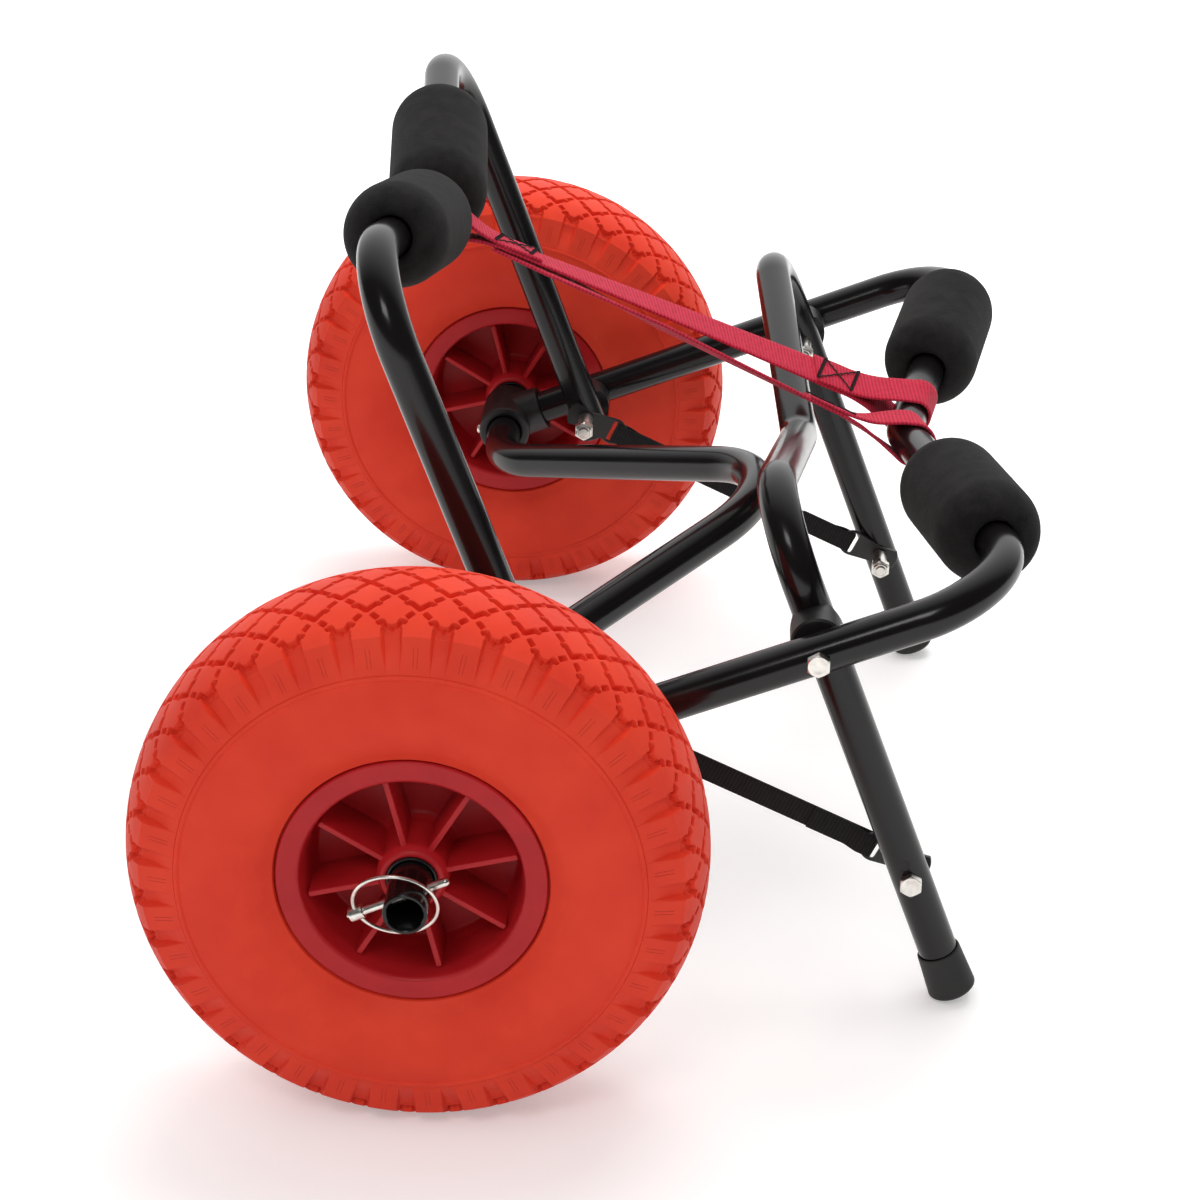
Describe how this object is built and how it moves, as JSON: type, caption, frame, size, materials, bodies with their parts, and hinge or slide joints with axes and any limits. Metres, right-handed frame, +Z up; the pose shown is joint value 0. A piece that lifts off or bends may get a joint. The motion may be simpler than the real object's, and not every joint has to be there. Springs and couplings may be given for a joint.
{
  "type": "kayak cart",
  "caption": "Folding boat cart with wide solid tyres, foam-padded cradle frames, a kickstand, webbing straps and ring pins.",
  "frame": {"origin": "on the ground under the middle of the cart's bounding box", "axes": "+Z up, +Y along the axle to the cart's left, +X from the axle towards the kickstand feet"},
  "size_m": [0.4104, 0.696, 0.3797],
  "materials": {
    "tube_black": "gloss black powder coat",
    "plastic_black": "moulded black",
    "plate_black": "satin black",
    "rubber_black": "matte black",
    "foam_charcoal": "matte closed-cell foam",
    "zinc": "bright zinc plate",
    "tyre_orange": "matte orange-red foam tyre",
    "rim_red": "moulded deep red",
    "web_crimson": "woven webbing",
    "web_black": "woven webbing"
  },
  "bodies": {
    "chassis": {"front_cradle_frame": "tube_black", "axle": "tube_black", "left_axle_fitting": "plastic_black", "right_axle_fitting": "plastic_black", "left_fitting_screw": "zinc", "right_fitting_screw": "zinc", "left_rear_pivot_bolt": "zinc", "right_rear_pivot_bolt": "zinc", "left_rear_pivot_sleeve": "zinc", "right_rear_pivot_sleeve": "zinc", "left_rear_pivot_nut": "zinc", "right_rear_pivot_nut": "zinc", "left_stand_pivot_bolt": "zinc", "right_stand_pivot_bolt": "zinc", "left_stand_pivot_sleeve": "zinc", "right_stand_pivot_sleeve": "zinc", "left_stand_pivot_nut": "zinc", "right_stand_pivot_nut": "zinc", "left_rear_strap_bracket": "plate_black", "right_rear_strap_bracket": "plate_black", "left_kickstand_strap": "web_black", "right_kickstand_strap": "web_black", "left_cradle_strap": "web_crimson", "right_cradle_strap": "web_crimson", "front_left_pad": "foam_charcoal", "front_right_pad": "foam_charcoal"},
    "rear_cradle": {"rear_cradle_frame": "tube_black", "rear_left_pad": "foam_charcoal", "rear_right_pad": "foam_charcoal", "left_rear_pivot_spacer": "plastic_black", "right_rear_pivot_spacer": "plastic_black"},
    "kickstand": {"kickstand_frame": "tube_black", "left_foot": "rubber_black", "right_foot": "rubber_black", "left_stand_pivot_spacer": "plastic_black", "right_stand_pivot_spacer": "plastic_black", "left_strap_bolt": "zinc", "right_strap_bolt": "zinc", "left_strap_sleeve": "zinc", "right_strap_sleeve": "zinc", "left_strap_nut": "zinc", "right_strap_nut": "zinc", "left_stand_strap_bracket": "plate_black", "right_stand_strap_bracket": "plate_black"},
    "left_wheel": {"left_tyre": "tyre_orange", "left_rim": "rim_red", "left_outer_bush": "plastic_black", "left_inner_bush": "plastic_black"},
    "right_wheel": {"right_tyre": "tyre_orange", "right_rim": "rim_red", "right_outer_bush": "plastic_black", "right_inner_bush": "plastic_black"},
    "left_pin": {"left_linch_pin": "zinc"},
    "right_pin": {"right_linch_pin": "zinc"},
    "left_ring": {"left_pin_ring": "zinc"},
    "right_ring": {"right_pin_ring": "zinc"}
  },
  "joints": [
    {"name": "left_wheel_spin", "type": "hinge", "parent": "chassis", "child": "left_wheel", "pos_m": [-0.07516, 0.2884, 0.13], "axis": [0, 1, 0], "continuous": true},
    {"name": "right_wheel_spin", "type": "hinge", "parent": "chassis", "child": "right_wheel", "pos_m": [-0.07516, -0.2884, 0.13], "axis": [0, 1, 0], "continuous": true},
    {"name": "rear_cradle_fold", "type": "hinge", "parent": "chassis", "child": "rear_cradle", "pos_m": [-0.02534, 0, 0.15003], "axis": [0, 1, 0], "range_deg": [0, 52], "deforming": ["left_cradle_strap", "right_cradle_strap"]},
    {"name": "kickstand_fold", "type": "hinge", "parent": "chassis", "child": "kickstand", "pos_m": [0.10034, 0, 0.20055], "axis": [0, 1, 0], "range_deg": [0, 66], "deforming": ["left_kickstand_strap", "right_kickstand_strap"]},
    {"name": "left_pin_slide", "type": "slide", "parent": "chassis", "child": "left_pin", "axis": [0.9135, 0, 0.4067], "range_m": [0, 0.011]},
    {"name": "right_pin_slide", "type": "slide", "parent": "chassis", "child": "right_pin", "axis": [0.9135, 0, 0.4067], "range_m": [0, 0.011]},
    {"name": "left_ring_swing", "type": "hinge", "parent": "left_pin", "child": "left_ring", "pos_m": [-0.09791, 0.331, 0.11987], "axis": [-0.389, 0.2924, 0.8736], "range_deg": [0, 50]},
    {"name": "right_ring_swing", "type": "hinge", "parent": "right_pin", "child": "right_ring", "pos_m": [-0.09791, -0.331, 0.11987], "axis": [0.389, 0.2924, -0.8736], "range_deg": [0, 50]}
  ],
  "couplings": [
    {"joint": "left_ring_swing", "follows": "left_pin_slide", "rad_per_m": 78.54},
    {"joint": "right_ring_swing", "follows": "right_pin_slide", "rad_per_m": 78.54}
  ]
}
